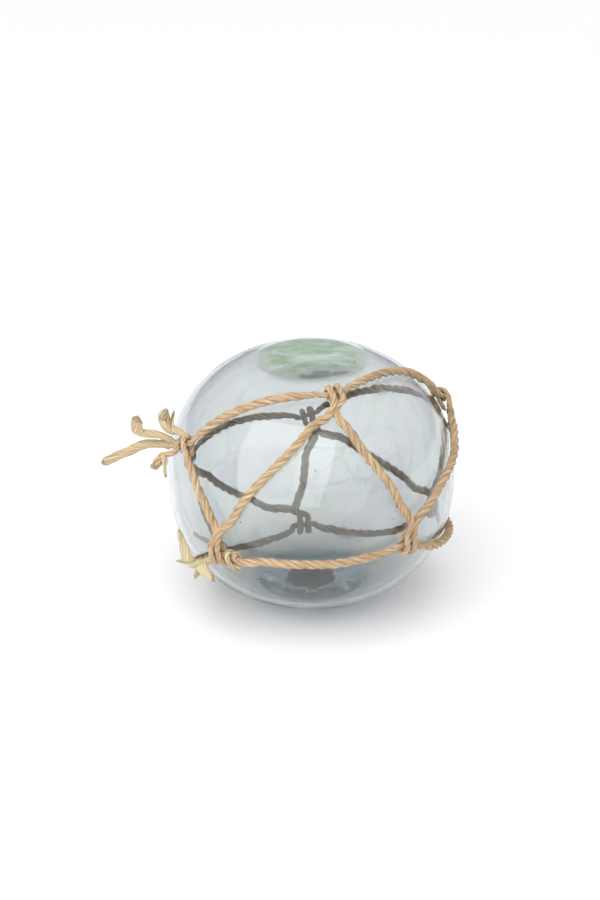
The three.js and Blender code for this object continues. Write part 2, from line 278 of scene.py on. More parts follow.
class Ring:
    """One of the two rings, with its spans and knots."""

    def __init__(self, ball, knots, other_ring, extra=0.0):
        self.ball = ball
        self.places = knots
        self.spans = [
            Span(ball, knot, knots[(i + 1) % len(knots)], knot[2]) for i, knot in enumerate(knots)]
        self.knots = [
            Knot(ball, self.spans[i - 1], span, other_ring) for i, span in enumerate(self.spans)]
        self.extra = extra

    def height(self, distance, extra):
        """The ring rises over the turns of the lacing that pass under it."""
        ball = self.ball
        down = np.clip((distance / ball.lay - RING_FLAT - extra) / RING_DOWN, 0, 1)
        return ball.on_glass + ball.lay * (1 + math.cos(math.pi * down)) / 2

    def at(self, i, distance):
        """The ring's rope at a distance after its knot i, or before it where that is negative."""
        span = self.spans[i - 1] if distance < 0 else self.spans[i]
        part = distance / span.length + (1 if distance < 0 else 0)
        extra = self.extra if i == 0 and distance > 0 else 0
        height = self.height(abs(distance), extra)
        if abs(distance) < RING_STRAIGHT * self.ball.lay:
            return self.knots[i].point((distance, 0, height))
        return self.ball.above(span.at(part), np.float64(height))

    def route(self):
        ball, points = self.ball, []
        for i, span in enumerate(self.spans):
            after = list(RING_NEAR)
            if i == 0 and self.extra:
                after.append(RING_NEAR[-1] + self.extra)
            following = (i + 1) % len(self.spans)
            free = span.between(after[-1] * ball.lay)[1:-1]
            points += [self.at(i, part * ball.lay) for part in after]
            points += [ball.above(span.at(part), np.float64(ball.on_glass)) for part in free]
            points += [self.at(following, -part * ball.lay) for part in RING_NEAR[:0:-1]]
        return np.array(points)

    def winding(self):
        """The end of the ring, wound once round the ring after its first knot."""
        ball, knot, points = self.ball, self.knots[0], []
        for step in range(-2, WINDING_STATIONS + 3):
            angle = math.radians(-90) + 2 * math.pi * step / WINDING_STATIONS
            inward = max(0, -step, step - WINDING_STATIONS)
            radius = ball.lay * (1, 0.75, 0.2)[inward]
            wound = min(max(step, 0), WINDING_STATIONS) / WINDING_STATIONS
            points.append(
                self.at(0, (WINDING_START + WINDING_ADVANCE * wound) * ball.lay)
                + knot.across * radius * math.cos(angle)
                + knot.out * radius * math.sin(angle))
        return np.array(points)


def half_hitch(ball, side):
    over, behind, steps = 60, 270, 5
    turn = [(side * TURN_APART * ball.lay, LEG_CLEAR * ball.lay,
             ball.on_rope + LEG_LIFT * ball.lay)]
    for i in range(steps + 1):
        angle = math.radians(over + (behind - over) * i / steps)
        turn.append((side * TURN_APART * ball.lay, ball.lay * math.cos(angle),
                     ball.on_rope + ball.lay * math.sin(angle)))
    return turn


def hitch(knot):
    """Over the ring, round behind it, a bend on the glass under the legs, and back the same way."""
    ball = knot.ball
    collar = [
        (TURN_APART * ball.lay * math.cos(math.radians(a)),
         COLLAR_START * ball.lay + TURN_APART * ball.lay * math.sin(math.radians(a)),
         ball.on_glass)
        for a in (180, 135, 90, 45, 0)]
    return knot.point(half_hitch(ball, -1) + collar + half_hitch(ball, 1)[::-1])


def neck(knot, side, legs):
    """The point where a leg parts from the other one, from the points where they are down."""
    ball = knot.ball
    along, across, _ = knot.measure(np.mean(legs, axis=0))
    return knot.point((
        NECK_PART * along + side * NECK_APART * ball.lay,
        NECK_PART * across,
        ball.on_glass + NECK_LIFT * ball.lay))


class Net:
    """The whole net: two rings and the lacing that zigzags between them."""

    def __init__(self, glass, rope):
        self.ball = Ball(glass, rope)
        extra = WINDING_START + WINDING_ADVANCE - RING_FLAT
        self.upper = Ring(self.ball, UPPER_RING, -1)
        self.lower = Ring(self.ball, LOWER_RING, 1, extra)
        self.knots = self.upper.knots + self.lower.knots

    def lacing(self):
        ball, upper, lower = self.ball, self.upper, self.lower
        places = [place for pair in zip(upper.places, lower.places) for place in pair]
        knots = [knot for pair in zip(upper.knots, lower.knots) for knot in pair]
        stretches = []
        for i, sag in enumerate(LACING):
            span = Span(ball, places[i], places[i + 1], sag)
            parts = span.between(LEG_DOWN * ball.lay)
            stretches.append(ball.above(span.at(parts), np.float64(ball.on_glass)))
        route = list(self.end(upper, LACING_START))
        for i, knot in enumerate(knots):
            before, after = stretches[max(i - 1, 0)], stretches[min(i, len(LACING) - 1)]
            legs = [before[-1]] * (i > 0) + [after[0]] * (i < len(LACING))
            if i > 0:
                route += [*before, neck(knot, -1, legs)]
            route += list(hitch(knot)[0 if i > 0 else 2:])
            if i < len(LACING):
                route.append(neck(knot, 1, legs))
        route += list(knots[-1].point(np.array(LACING_END) * MM))
        return np.array(route)

    def end(self, ring, places):
        return ring.knots[0].point(np.array(places) * MM)

    def pull_tight(self, points):
        """Pulls every point of a rope near a knot closer to the glass and to the ring."""
        points = points.copy()
        top = self.ball.on_rope + self.ball.lay + self.ball.rope
        for knot in self.knots:
            direction = unit(points - self.ball.centre)
            near = direction @ knot.out > math.cos(PRESS_REACH / self.ball.half_height)
            place = knot.measure(points[near])
            press = 1 - smoothstep(np.hypot(place[:, 0], place[:, 1]), PRESS_CORE, PRESS_REACH)
            place[:, 2] -= PRESS_HEIGHT * press * np.minimum(place[:, 2], top)
            place[:, 0] *= 1 - PRESS_ALONG * press
            place[:, 1] *= 1 - PRESS_ACROSS * press
            points[near] = knot.point(place)
        return points


# ---------------------------------------------------------------- laying up rope

def smooth_route(points, closed, step):
    """Even points along the centripetal Catmull-Rom curve through a route, and where they are."""
    if closed:
        run = np.vstack([points[-1:], points, points[:2]])
    else:
        run = np.vstack([2 * points[:1] - points[1:2], points, 2 * points[-1:] - points[-2:-1]])
    a, b, c, d = run[:-3], run[1:-2], run[2:-1], run[3:]
    da, db, dc = (np.sqrt(np.linalg.norm(q - p, axis=1))[:, None] for p, q in
                  ((a, b), (b, c), (c, d)))
    leave = ((b - a) / da - (c - a) / (da + db) + (c - b) / db) * db
    arrive = ((c - b) / db - (d - b) / (db + dc) + (d - c) / dc) * db
    t = np.linspace(0, 1, 24, endpoint=False)[None, :, None]
    b, c, leave, arrive = (each[:, None, :] for each in (b, c, leave, arrive))
    fine = ((2 * t**3 - 3 * t**2 + 1) * b + (t**3 - 2 * t**2 + t) * leave
            + (3 * t**2 - 2 * t**3) * c + (t**3 - t**2) * arrive).reshape(-1, 3)
    fine = np.vstack([fine, points[:1] if closed else points[-1:]])
    far = np.concatenate([[0], np.cumsum(np.linalg.norm(np.diff(fine, axis=0), axis=1))])
    count = max(4, round(far[-1] / step))
    along = np.linspace(0, far[-1], count + (0 if closed else 1), endpoint=not closed)
    even = np.stack([np.interp(along, far, fine[:, k]) for k in range(3)], axis=1)
    return even, along, far[-1]


def carried_frames(points, closed):
    """Two directions square to the route that turn as little as they can, and on a closed route
    the angle by which they miss when they come round."""
    if closed:
        tangent = unit(np.roll(points, -1, 0) - np.roll(points, 1, 0))
    else:
        tangent = unit(np.gradient(points, axis=0))
    side = np.empty_like(points)
    side[0] = unit(np.cross(tangent[0], (0.3, 0.5, 0.8)))
    for i in range(1, len(points)):
        side[i] = unit(side[i - 1] - tangent[i] * (side[i - 1] @ tangent[i]))
    other = np.cross(tangent, side)
    missed = 0.0
    if closed:
        last = unit(side[-1] - tangent[0] * (side[-1] @ tangent[0]))
        missed = math.atan2(float(last @ other[0]), float(last @ side[0]))
    return side, other, missed


class Yarns:
    """Tubes that become one mesh: strands of rope, and single fibres."""

    def __init__(self, sides):
        self.sides = sides
        self.tubes = []

    def add(self, path, radii, axis, reach, closed=False, pale=0.0, twist=0.0, offset=0.0):
        """axis is the middle of the rope that the tube belongs to, and reach that rope's radius."""
        self.tubes.append((path, radii, axis, reach, closed, pale, twist, offset))

    def mesh(self, name, net):
        """The tubes as a mesh, pulled tight, with what the jute material reads at its points."""
        curve = bpy.data.curves.new(name, "CURVE")
        curve.dimensions = "3D"
        curve.bevel_depth = 1
        curve.bevel_resolution = (self.sides - 4) // 2
        curve.use_fill_caps = True
        fibre, facts, axes = [], [], []
        for path, radii, axis, reach, closed, pale, twist, offset in self.tubes:
            spline = curve.splines.new("POLY")
            spline.points.add(len(path) - 1)
            spline.points.foreach_set("co", np.c_[path, np.ones(len(path))].ravel())
            spline.points.foreach_set("radius", radii)
            spline.use_cyclic_u = closed
            far = np.concatenate([[0], np.cumsum(np.linalg.norm(np.diff(path, axis=0), axis=1))])
            turn = (2 * np.pi * np.arange(self.sides)[None, :] / self.sides
                    + twist * far[:, None])
            rings = np.stack([
                radii[:, None] * np.cos(turn), radii[:, None] * np.sin(turn),
                far[:, None] + offset + 0 * turn], axis=-1)
            pale_reach = np.stack([0 * turn + pale, 0 * turn + reach], axis=-1)
            middles = np.repeat(axis[:, None, :], self.sides, axis=1)
            for store, rows in ((fibre, rings), (facts, pale_reach), (axes, middles)):
                if not closed:
                    store += [rows[-1], rows[0]]
                store.append(rows.reshape(-1, rows.shape[-1]))
        fibre, facts, axes = (np.vstack(store) for store in (fibre, facts, axes))
        maker = bpy.data.objects.new(name, curve)
        bpy.context.scene.collection.objects.link(maker)
        depsgraph = bpy.context.evaluated_depsgraph_get()
        mesh = bpy.data.meshes.new_from_object(maker.evaluated_get(depsgraph))
        bpy.data.objects.remove(maker)
        bpy.data.curves.remove(curve)
        if len(mesh.vertices) != len(fibre):
            raise RuntimeError(f"{name}: {len(mesh.vertices)} points came for {len(fibre)}")
        place = np.empty(len(fibre) * 3)
        mesh.vertices.foreach_get("co", place)
        place = place.reshape(-1, 3)
        # How far a point lies from its rope's middle. The jute material paints shade into the gaps
        # between strands from this.
        outward = np.linalg.norm(place - axes, axis=1) / facts[:, 1]
        cord = np.stack([outward, facts[:, 0], 0 * outward], axis=1)
        for title, rows in (("fibre", fibre), ("cord", cord)):
            layer = mesh.attributes.new(title, "FLOAT_VECTOR", "POINT")
            layer.data.foreach_set("vector", np.ascontiguousarray(rows, np.float32).ravel())
        mesh.vertices.foreach_set("co", net.pull_tight(place).ravel())
        for layer in list(mesh.uv_layers):
            mesh.uv_layers.remove(layer)
        built = bmesh.new()
        built.from_mesh(mesh)
        bmesh.ops.remove_doubles(built, verts=built.verts, dist=1e-8)
        built.to_mesh(mesh)
        built.free()
        mesh.shade_smooth()
        return mesh


def lay_rope(yarns, rope, points, rng, closed=False):
    """The strands of a rope, laid up along a route."""
    route, along, length = smooth_route(points, closed, rope.step)
    side, other, missed = carried_frames(route, closed)
    turns = length / rope.twist_length
    if closed:
        turns = round(turns)
    start = rng.random() * 2 * math.pi
    for strand in range(rope.strands):
        angle = (2 * math.pi * (turns * along / length + strand / rope.strands)
                 - missed * along / length + start)[:, None]
        lumps = np.array([
            1 + STRAND_LUMPS * noise.noise((s * LUMP_SCALE, strand * 7.1, start * 3))
            for s in along])
        middle = rope.radius * rope.strand_circle
        path = route + middle * (side * np.cos(angle) + other * np.sin(angle))
        radii = rope.radius * rope.strand_thickness * lumps
        yarns.add(path, radii, route, rope.radius, closed, twist=STRAND_TWIST,
                  offset=strand * 0.7 + rng.random())
    return route, side, other


def open_end(yarns, rope, points, rng, count=6, thin=0.3, spread=0.62, tip=0.8, lay=0.075,
             pale=0.3):
    """A loose end whose strands have opened into their yarns."""
    route, along, length = smooth_route(points, False, rope.step)
    side, other, _ = carried_frames(route, False)
    start = rng.random() * 2 * math.pi
    part = along / length
    scale = 1 + (tip - 1) * part**1.5
    for yarn in range(count + 1):
        core = yarn == count
        angle = (2 * math.pi * (along / lay + yarn / count) + start)[:, None]
        out = 0 if core else rope.radius * spread
        wander = np.array([
            YARN_WANDER * noise.noise((s * WANDER_SCALE, yarn * 3.7, start)) for s in along])
        out = (out * scale * (1 + wander))[:, None]
        path = route + out * (side * np.cos(angle) + other * np.sin(angle))
        radii = rope.radius * thin * scale * (CORE_THICK if core else 1.0) * (1 + wander)
        yarns.add(path, radii, route, rope.radius, pale=pale, twist=YARN_TWIST,
                  offset=rng.random())
    return route


def tuft(fibres, root, tip, rng, count=26, width=2.2 * MM, thick=0.28 * MM, belly=0.5,
         pale=0.8, ragged=0.25):
    """Fibres that leave a rope's end together and draw in to a ragged point."""
    root, tip = np.asarray(root), np.asarray(tip)
    way = tip - root
    length = np.linalg.norm(way)
    ahead = way / length
    side = unit(np.cross(ahead, (0.2, 0.4, 0.9)))
    other = np.cross(ahead, side)
    t = np.linspace(0, 1, 7)
    for _ in range(count):
        angle, out = rng.uniform(0, 2 * math.pi), math.sqrt(rng.random())
        reach = length * rng.uniform(1 - ragged, 1 + ragged)
        swell = width * out * (1 - 0.85 * t + belly * np.sin(math.pi * t))
        stray = rng.gauss(0, 0.05 * length) * t**2, rng.gauss(0, 0.05 * length) * t**2
        path = (root - ahead * 2 * MM + ahead * (t * (reach + 2 * MM))[:, None]
                + side * (swell * math.cos(angle) + stray[0])[:, None]
                + other * (swell * math.sin(angle) + stray[1])[:, None])
        radii = thick * rng.uniform(0.6, 1.2) * (1 - 0.75 * t**2)
        fibres.add(path, radii, path + 1, 1.0, pale=pale * rng.uniform(0.6, 1.2),
                   offset=rng.random())


def fuzz(fibres, rope, route, side, other, rng, spacing=5 * MM):
    """Single fibres that stand off a rope."""
    t = np.linspace(0, 1, 5)
    step = np.linalg.norm(route[1] - route[0])
    ahead = unit(np.gradient(route, axis=0))
    for _ in range(int(len(route) * step / spacing)):
        i = rng.randrange(2, len(route) - 2)
        angle = rng.uniform(0, 2 * math.pi)
        out = side[i] * math.cos(angle) + other[i] * math.sin(angle)
        round_it = side[i] * -math.sin(angle) + other[i] * math.cos(angle)
        length = rng.uniform(*FUZZ_LENGTH) * MM
        lift, sweep = rng.uniform(*FUZZ_LIFT), rng.uniform(-FUZZ_SWEEP, FUZZ_SWEEP)
        forward = ahead[i] * rng.choice((-1, 1))
        path = (route[i] + out * rope.radius * FUZZ_ROOT + forward * (length * t)[:, None]
                + out * (length * lift * t**1.4)[:, None]
                + round_it * (length * sweep * t)[:, None])
        radii = rng.uniform(*FUZZ_RADIUS) * MM * (1 - 0.6 * t)
        fibres.add(path, radii, path + 1, 1.0, pale=0.5, offset=rng.random())


def finish_rope(name, node_name, yarns, fibres, net, materials):
    """Joins a rope's strands and fibres into one piece."""
    built = bmesh.new()
    for slot, tubes in enumerate((yarns, fibres)):
        mesh = tubes.mesh(name + "_part", net)
        mesh.polygons.foreach_set("material_index", [slot] * len(mesh.polygons))
        built.from_mesh(mesh)
        bpy.data.meshes.remove(mesh)
    bmesh.ops.recalc_face_normals(built, faces=built.faces)
    whole = bpy.data.meshes.new(name)
    built.to_mesh(whole)
    built.free()
    whole.shade_smooth()
    for material in materials:
        whole.materials.append(material)
    piece = bpy.data.objects.new(name, whole)
    bpy.context.scene.collection.objects.link(piece)
    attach(piece, ROOT)
    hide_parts(node_name)


# ---------------------------------------------------------------- glass

def pole_profile(rows):
    """Directions from the bottom pole to the top one, in the XZ plane."""
    angles = np.radians(np.linspace(-90, 90, rows))
    return np.stack([np.cos(angles), 0 * angles, np.sin(angles)], axis=1)


def spun_ball(directions, sides):
    """A closed skin of unit directions, spun from a half-circle."""
    built = bmesh.new()
    row = [built.verts.new(v) for v in directions]
    edges = [built.edges.new(pair) for pair in zip(row, row[1:])]
    bmesh.ops.spin(built, geom=row + edges, cent=(0, 0, 0), axis=(0, 0, 1),
                   angle=2 * math.pi, steps=sides, use_merge=True)
    bmesh.ops.remove_doubles(built, verts=built.verts, dist=1e-6)
    bmesh.ops.recalc_face_normals(built, faces=built.faces)
    return built


def ripple(v, scale, seed):
    """Smooth noise from about -1 to 1. A larger scale makes it finer, and seed moves it."""
    return noise.noise((v[0] * scale + seed, v[1] * scale - seed, v[2] * scale + 2 * seed))


def cloud(v, scale, seed):
    """Two octaves of ripple, from about -1 to 1."""
    return ripple(v, scale, seed) + 0.5 * ripple(v, 2.1 * scale, seed + 5)


def outer_skin(ball, glass):
    def place(d):
        q = np.array(d)
        p = q * float(ball.reach(q))
        radius = math.hypot(p[0], p[1])
        wave = glass.waviness * cloud(p, 28, 1.3)
        p = p * (1 - abs(wave) / float(ball.reach(q)))
        if q[2] > 0:
            edge = glass.seal_radius * (1 + 0.05 * ripple(q, 2.2, 4.0))
            part = radius / edge
            if part < 1:
                p[2] += glass.seal_height * (1 - part**6) * (0.85 + 0.15 * ripple(p, 60, 8))
        p = p + ball.centre
        p[2] = max(p[2], 0.0)
        return p
    return place


def inner_skin(ball, glass):
    def place(d):
        q = np.array(d)
        reach = float(ball.reach(q))
        p = q * reach
        wall = glass.wall * (1 + 0.035 * cloud(p, 16, 3.1) + 0.004 * ripple(p, 70, 6.0))
        radius = math.hypot(p[0], p[1])
        if q[2] < 0:
            base = 1 - float(smoothstep(radius, 0.7 * glass.base_radius, glass.base_radius))
            wall += base * (glass.base_thickness - glass.wall)
            wall += base * glass.base_lumps * (cloud(p, 95, 9.0) + 0.6 * ripple(p, 260, 2.0))
        else:
            seal = 1 - float(smoothstep(radius, 0.3 * glass.seal_radius, 1.2 * glass.seal_radius))
            wall += seal * (glass.seal_thickness - glass.wall)
            wall += seal * glass.base_lumps * 0.12 * cloud(p, 60, 12.0)
        return ball.centre + q * (reach - wall)
    return place


def glass_mesh(ball, glass):
    """The outside and the sealed cavity, with small seeds of air in the wall between them."""
    whole = bmesh.new()
    rng = random.Random(11)

    def take(built, flip):
        if flip:
            bmesh.ops.reverse_faces(built, faces=built.faces)
        part = bpy.data.meshes.new("part")
        built.to_mesh(part)
        built.free()
        whole.from_mesh(part)
        bpy.data.meshes.remove(part)

    for skin, flip in ((outer_skin, False), (inner_skin, True)):
        built = spun_ball(pole_profile(glass.rows), glass.sides)
        place = skin(ball, glass)
        for v in built.verts:
            v.co = place(v.co)
        take(built, flip)
    for _ in range(glass.seeds):
        z = rng.uniform(-1, 1)
        turn = rng.uniform(0, 2 * math.pi)
        level = math.sqrt(1 - z * z)
        q = np.array([level * math.cos(turn), level * math.sin(turn), z])
        size = rng.choice(SEED_RADII) * MM
        at = ball.centre + q * (float(ball.reach(q)) - 0.5 * glass.wall)
        seed = bmesh.new()
        stretch = Matrix.Diagonal((1, 1, rng.uniform(*SEED_STRETCH), 1))
        bmesh.ops.create_icosphere(seed, subdivisions=2, radius=size,
                                   matrix=Matrix.Translation(at) @ stretch)
        take(seed, True)
    mesh = bpy.data.meshes.new("float_glass")
    whole.to_mesh(mesh)
    whole.free()
    mesh.shade_smooth()
    return mesh


# ---------------------------------------------------------------- materials

def add_node(tree, kind, inputs=None, **settings):
    """A node with its settings and the values of its inputs."""
    made = tree.nodes.new(kind)
    for name, value in settings.items():
        setattr(made, name, value)
    for name, value in (inputs or {}).items():
        made.inputs[name].default_value = value
    return made


def join(tree, source, target):
    tree.links.new(source, target)


def fresh_material(name):
    material = bpy.data.materials.new(name)
    material.use_nodes = True
    tree = material.node_tree
    tree.nodes.clear()
    output = tree.nodes.new("ShaderNodeOutputMaterial")
    shader = tree.nodes.new("ShaderNodeBsdfPrincipled")
    join(tree, shader.outputs["BSDF"], output.inputs["Surface"])
    return material, tree, shader, output


def rgb(colour):
    return (*colour, 1.0)


def math_node(tree, operation, first, second=None):
    made = add_node(tree, "ShaderNodeMath", operation=operation)
    for place, value in ((0, first), (1, second)):
        if value is None:
            continue
        if isinstance(value, (int, float)):
            made.inputs[place].default_value = value
        else:
            join(tree, value, made.inputs[place])
    return made.outputs[0]


def mix_colour(tree, factor, first, second, blend="MIX"):
    made = add_node(tree, "ShaderNodeMix", data_type="RGBA", blend_type=blend)
    sockets = [s for s in made.inputs if s.enabled]
    for socket, value in zip((sockets[0], sockets[1], sockets[2]), (factor, first, second)):
        if isinstance(value, (int, float, tuple)):
            socket.default_value = value
        else:
            join(tree, value, socket)
    return [s for s in made.outputs if s.enabled][0]


def spread(tree, value, low, high, to_low=0.0, to_high=1.0):
    made = add_node(tree, "ShaderNodeMapRange", interpolation_type="SMOOTHSTEP")
    for name, number in (("From Min", low), ("From Max", high), ("To Min", to_low),
                         ("To Max", to_high)):
        made.inputs[name].default_value = number
    join(tree, value, made.inputs["Value"])
    return made.outputs["Result"]


def noise_at(tree, vector, scale, detail=2.0, roughness=0.5, distortion=0.0, stretch=None):
    if stretch:
        mapping = add_node(tree, "ShaderNodeMapping")
        mapping.inputs["Scale"].default_value = stretch
        join(tree, vector, mapping.inputs["Vector"])
        vector = mapping.outputs["Vector"]
    made = add_node(tree, "ShaderNodeTexNoise", {
        "Scale": scale, "Detail": detail, "Roughness": roughness, "Distortion": distortion})
    join(tree, vector, made.inputs["Vector"])
    return made.outputs["Fac"]


def jute_group(rope):
    """Colour and relief of jute fibres, from where a point lies on its own yarn, with painted shade
    in the gaps between strands.
    """
    tree = bpy.data.node_groups.new("jute fibres", "ShaderNodeTree")
    for title, kind, default in (
        ("Fibre", "NodeSocketVector", None), ("Outward", "NodeSocketFloat", 1.0),
        ("Pale", "NodeSocketFloat", 0.0), ("Contrast", "NodeSocketFloat", 1.0),
    ):
        socket = tree.interface.new_socket(title, in_out="INPUT", socket_type=kind)
        if default is not None:
            socket.default_value = default
    for title, kind in (("Color", "NodeSocketColor"), ("Height", "NodeSocketFloat"),
                        ("Roughness", "NodeSocketFloat")):
        tree.interface.new_socket(title, in_out="OUTPUT", socket_type=kind)
    given = tree.nodes.new("NodeGroupInput")
    result = tree.nodes.new("NodeGroupOutput")
    fibre = given.outputs["Fibre"]
    fine = noise_at(tree, fibre, 1.0, detail=3, roughness=0.6, stretch=(3200, 3200, 150))
    coarse = noise_at(tree, fibre, 1.0, detail=2, stretch=(1100, 1100, 60))
    patch = noise_at(tree, fibre, 1.0, detail=2, stretch=(160, 160, 55))
    ramp_node = add_node(tree, "ShaderNodeValToRGB")
    ramp = ramp_node.color_ramp
    stops = ((0.22, rope.gap_shade_and_dark_fibre), (0.42, rope.brown), (0.55, rope.tan), (0.78, rope.straw))
    ramp.elements[0].position, ramp.elements[0].color = stops[0][0], rgb(stops[0][1])
    ramp.elements[1].position, ramp.elements[1].color = stops[-1][0], rgb(stops[-1][1])
    for position, colour in stops[1:-1]:
        ramp.elements.new(position).color = rgb(colour)
    blend = math_node(tree, "ADD", math_node(tree, "MULTIPLY", fine, 0.5),
                      math_node(tree, "MULTIPLY", coarse, 0.5))
    centred = math_node(tree, "SUBTRACT", blend, 0.5)
    contrast = math_node(tree, "MULTIPLY", centred, given.outputs["Contrast"])
    join(tree, math_node(tree, "ADD", math_node(tree, "MULTIPLY", contrast, 1.7), 0.56),
         ramp_node.inputs["Fac"])
    warm = spread(tree, patch, 0.52, 0.72, 0.0, 0.75)
    colour = mix_colour(tree, warm, ramp_node.outputs["Color"], rgb(rope.orange), "MULTIPLY")
    colour = mix_colour(tree, given.outputs["Pale"], colour, rgb(rope.pale_end))
    # Painted shade: the fibres darken towards the rope's middle, in the gaps between the strands.
    gap_shade_mask = spread(tree, given.outputs["Outward"], 0.5, 0.92)
    shade = mix_colour(tree, gap_shade_mask, rgb(rope.gap_shade_and_dark_fibre), (1.0, 1.0, 1.0, 1.0))
    colour = mix_colour(tree, 0.85, colour, shade, "MULTIPLY")
    tone = math_node(tree, "ADD", math_node(
        tree, "MULTIPLY", noise_at(tree, fibre, 38.0, detail=1), 0.5), 0.75)
    value = add_node(tree, "ShaderNodeHueSaturation")
    join(tree, tone, value.inputs["Value"])
    join(tree, colour, value.inputs["Color"])
    join(tree, value.outputs["Color"], result.inputs["Color"])
    height = math_node(tree, "ADD", math_node(tree, "MULTIPLY", fine, 0.45),
                       math_node(tree, "MULTIPLY", coarse, 0.75))
    join(tree, height, result.inputs["Height"])
    join(tree, spread(tree, fine, 0.3, 0.7, 0.95, 0.72), result.inputs["Roughness"])
    return tree


def jute_material(name, group, contrast):
    material, tree, shader, _ = fresh_material(name)
    fibre = add_node(tree, "ShaderNodeAttribute", attribute_name="fibre")
    cord = add_node(tree, "ShaderNodeAttribute", attribute_name="cord")
    parts = add_node(tree, "ShaderNodeSeparateXYZ")
    join(tree, cord.outputs["Vector"], parts.inputs["Vector"])
    made = tree.nodes.new("ShaderNodeGroup")
    made.node_tree = group
    made.inputs["Contrast"].default_value = contrast
    join(tree, fibre.outputs["Vector"], made.inputs["Fibre"])
    for source, target in (("X", "Outward"), ("Y", "Pale")):
        join(tree, parts.outputs[source], made.inputs[target])
    join(tree, made.outputs["Color"], shader.inputs["Base Color"])
    join(tree, made.outputs["Roughness"], shader.inputs["Roughness"])
    bump = add_node(tree, "ShaderNodeBump", {"Strength": 0.6, "Distance": 0.35 * MM})
    join(tree, made.outputs["Height"], bump.inputs["Height"])
    join(tree, bump.outputs["Normal"], shader.inputs["Normal"])
    shader.inputs["Sheen Weight"].default_value = 0.15
    shader.inputs["Sheen Roughness"].default_value = 0.5
    shader.inputs["Specular IOR Level"].default_value = 0.3
    return material


def glass_material(ball, glass):
    """Pale aqua glass with the green of its seal, a bluish base, streaks and clouds of dirt."""
    material, tree, shader, output = fresh_material("float glass")
    coords = tree.nodes.new("ShaderNodeTexCoord").outputs["Object"]
    parts = add_node(tree, "ShaderNodeSeparateXYZ")
    join(tree, coords, parts.inputs["Vector"])
    height = parts.outputs["Z"]
    flat = add_node(tree, "ShaderNodeVectorMath", operation="MULTIPLY")
    flat.inputs[1].default_value = (1, 1, 0)
    join(tree, coords, flat.inputs[0])
    length = add_node(tree, "ShaderNodeVectorMath", operation="LENGTH")
    join(tree, flat.outputs["Vector"], length.inputs[0])
    radius = length.outputs["Value"]
    above = spread(tree, height, ball.centre[2], ball.centre[2] + 0.02)
    below = spread(tree, height, ball.centre[2], ball.centre[2] - 0.02)

    streak = noise_at(tree, coords, 1.0, detail=4, roughness=0.6, distortion=0.6,
                      stretch=(45, 45, 16))
    swirl = noise_at(tree, coords, 1.0, detail=3, distortion=1.2, stretch=(26, 60, 60))
    seal = math_node(tree, "MULTIPLY", above, spread(
        tree, radius, glass.seal_radius * 1.05, glass.seal_radius * 0.7))
    seal = math_node(tree, "MULTIPLY", seal, spread(tree, swirl, 0.35, 0.6))
    base = math_node(tree, "MULTIPLY", below, spread(
        tree, radius, glass.base_radius * 1.1, glass.base_radius * 0.85))
    grime = noise_at(tree, coords, 30.0, detail=5, roughness=0.7)
    specks = noise_at(tree, coords, 260.0, detail=2)
    clouds = math_node(tree, "MULTIPLY", spread(tree, grime, 0.52, 0.7),
                       spread(tree, specks, 0.45, 0.65, 0.35, 1.0))

    colour = mix_colour(tree, spread(tree, streak, 0.45, 0.72, 0.0, 0.6),
                        rgb(glass.film), rgb(glass.mauve))
    colour = mix_colour(tree, seal, colour, rgb(glass.seal_green))
    colour = mix_colour(tree, base, colour, rgb(glass.base_blue))
    colour = mix_colour(tree, math_node(tree, "MULTIPLY", clouds, 0.6), colour, rgb(glass.grime))
    join(tree, colour, shader.inputs["Base Color"])
    rough = math_node(tree, "MULTIPLY", clouds, GRIME_ROUGH)
    join(tree, math_node(tree, "ADD", rough, math_node(tree, "MULTIPLY", base, BASE_ROUGH)),
         shader.inputs["Roughness"])
    bump = add_node(tree, "ShaderNodeBump", {"Strength": 0.1, "Distance": 0.2 * MM})
    join(tree, noise_at(tree, coords, 55.0, detail=3, distortion=0.4), bump.inputs["Height"])
    join(tree, bump.outputs["Normal"], shader.inputs["Normal"])
    shader.inputs["IOR"].default_value = 1.5
    shader.inputs["Transmission Weight"].default_value = 1.0
    volume = add_node(tree, "ShaderNodeVolumeAbsorption",
                      {"Color": rgb(glass.tint), "Density": glass.absorption})
    join(tree, volume.outputs["Volume"], output.inputs["Volume"])
    return material


def floor_material(stage):
    material, tree, shader, _ = fresh_material("pale floor")
    shader.inputs["Base Color"].default_value = rgb(stage.floor_colour)
    shader.inputs["Roughness"].default_value = 0.9
    shader.inputs["Specular IOR Level"].default_value = 0.1
    return material


# ---------------------------------------------------------------- what a user may change

